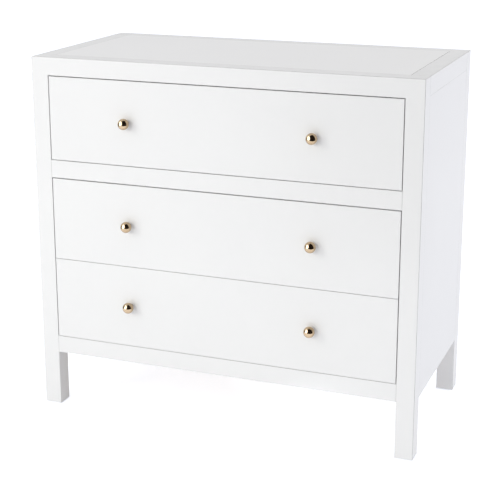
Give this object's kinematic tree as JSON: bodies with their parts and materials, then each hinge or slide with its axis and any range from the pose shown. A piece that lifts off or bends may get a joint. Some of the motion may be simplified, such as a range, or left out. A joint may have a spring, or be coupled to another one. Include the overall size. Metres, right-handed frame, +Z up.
{
  "type": "three-drawer dresser",
  "caption": "White lacquered dresser: square legs, flush framed top and sides, inset full-width drawers with brass ball knobs on full-extension slides.",
  "frame": {"origin": "on the floor, below the middle of the whole outline, knobs included", "axes": "+X to the right seen from the front, -Y out of the drawer fronts (the way the drawers open), +Z up"},
  "size_m": [0.914, 0.4858, 0.8475],
  "materials": {
    "white_lacquer": "satin white lacquer on wood",
    "back_board": "thin board, flat white paint",
    "carcase_pine": "planed softwood, unfinished",
    "drawer_birch": "birch board under clear matt varnish",
    "drawer_ply": "birch plywood sheet under clear matt varnish",
    "slide_steel": "bright zinc plating on cold-rolled sheet",
    "knob_brass": "polished, lacquered champagne brass",
    "glide_plastic": "moulded black plastic"
  },
  "bodies": {
    "cabinet": {"front_left_post": "white_lacquer", "front_right_post": "white_lacquer", "rear_left_post": "white_lacquer", "rear_right_post": "white_lacquer", "top_front_rail": "white_lacquer", "top_back_rail": "white_lacquer", "top_left_rail": "white_lacquer", "top_right_rail": "white_lacquer", "top_panel": "white_lacquer", "middle_rail": "white_lacquer", "bottom_rail": "white_lacquer", "rear_rail": "carcase_pine", "left_side_panel": "white_lacquer", "right_side_panel": "white_lacquer", "back_panel": "back_board", "left_slide_cleats": "carcase_pine", "right_slide_cleats": "carcase_pine", "glides": "glide_plastic", "top_drawer_left_cabinet_slide": "slide_steel", "top_drawer_right_cabinet_slide": "slide_steel", "middle_drawer_left_cabinet_slide": "slide_steel", "middle_drawer_right_cabinet_slide": "slide_steel", "bottom_drawer_left_cabinet_slide": "slide_steel", "bottom_drawer_right_cabinet_slide": "slide_steel"},
    "top_drawer": {"top_drawer_front": "white_lacquer", "top_drawer_box_front": "drawer_birch", "top_drawer_box_back": "drawer_birch", "top_drawer_left_side": "drawer_birch", "top_drawer_right_side": "drawer_birch", "top_drawer_bottom": "drawer_ply", "top_drawer_knobs": "knob_brass", "top_drawer_left_slide_runner": "slide_steel", "top_drawer_right_slide_runner": "slide_steel"},
    "top_carriers": {"top_drawer_left_slide_carrier": "slide_steel", "top_drawer_right_slide_carrier": "slide_steel"},
    "middle_drawer": {"middle_drawer_front": "white_lacquer", "middle_drawer_box_front": "drawer_birch", "middle_drawer_box_back": "drawer_birch", "middle_drawer_left_side": "drawer_birch", "middle_drawer_right_side": "drawer_birch", "middle_drawer_bottom": "drawer_ply", "middle_drawer_knobs": "knob_brass", "middle_drawer_left_slide_runner": "slide_steel", "middle_drawer_right_slide_runner": "slide_steel"},
    "middle_carriers": {"middle_drawer_left_slide_carrier": "slide_steel", "middle_drawer_right_slide_carrier": "slide_steel"},
    "bottom_drawer": {"bottom_drawer_front": "white_lacquer", "bottom_drawer_box_front": "drawer_birch", "bottom_drawer_box_back": "drawer_birch", "bottom_drawer_left_side": "drawer_birch", "bottom_drawer_right_side": "drawer_birch", "bottom_drawer_bottom": "drawer_ply", "bottom_drawer_knobs": "knob_brass", "bottom_drawer_left_slide_runner": "slide_steel", "bottom_drawer_right_slide_runner": "slide_steel"},
    "bottom_carriers": {"bottom_drawer_left_slide_carrier": "slide_steel", "bottom_drawer_right_slide_carrier": "slide_steel"}
  },
  "joints": [
    {"name": "top_drawer_slide", "type": "slide", "parent": "cabinet", "child": "top_drawer", "axis": [0, -1, 0], "range_m": [0, 0.35]},
    {"name": "top_carrier_slide", "type": "slide", "parent": "cabinet", "child": "top_carriers", "axis": [0, -1, 0], "range_m": [0, 0.175]},
    {"name": "middle_drawer_slide", "type": "slide", "parent": "cabinet", "child": "middle_drawer", "axis": [0, -1, 0], "range_m": [0, 0.35]},
    {"name": "middle_carrier_slide", "type": "slide", "parent": "cabinet", "child": "middle_carriers", "axis": [0, -1, 0], "range_m": [0, 0.175]},
    {"name": "bottom_drawer_slide", "type": "slide", "parent": "cabinet", "child": "bottom_drawer", "axis": [0, -1, 0], "range_m": [0, 0.35]},
    {"name": "bottom_carrier_slide", "type": "slide", "parent": "cabinet", "child": "bottom_carriers", "axis": [0, -1, 0], "range_m": [0, 0.175]}
  ],
  "couplings": [
    {"joint": "top_carrier_slide", "follows": "top_drawer_slide", "ratio": 0.5},
    {"joint": "middle_carrier_slide", "follows": "middle_drawer_slide", "ratio": 0.5},
    {"joint": "bottom_carrier_slide", "follows": "bottom_drawer_slide", "ratio": 0.5}
  ]
}
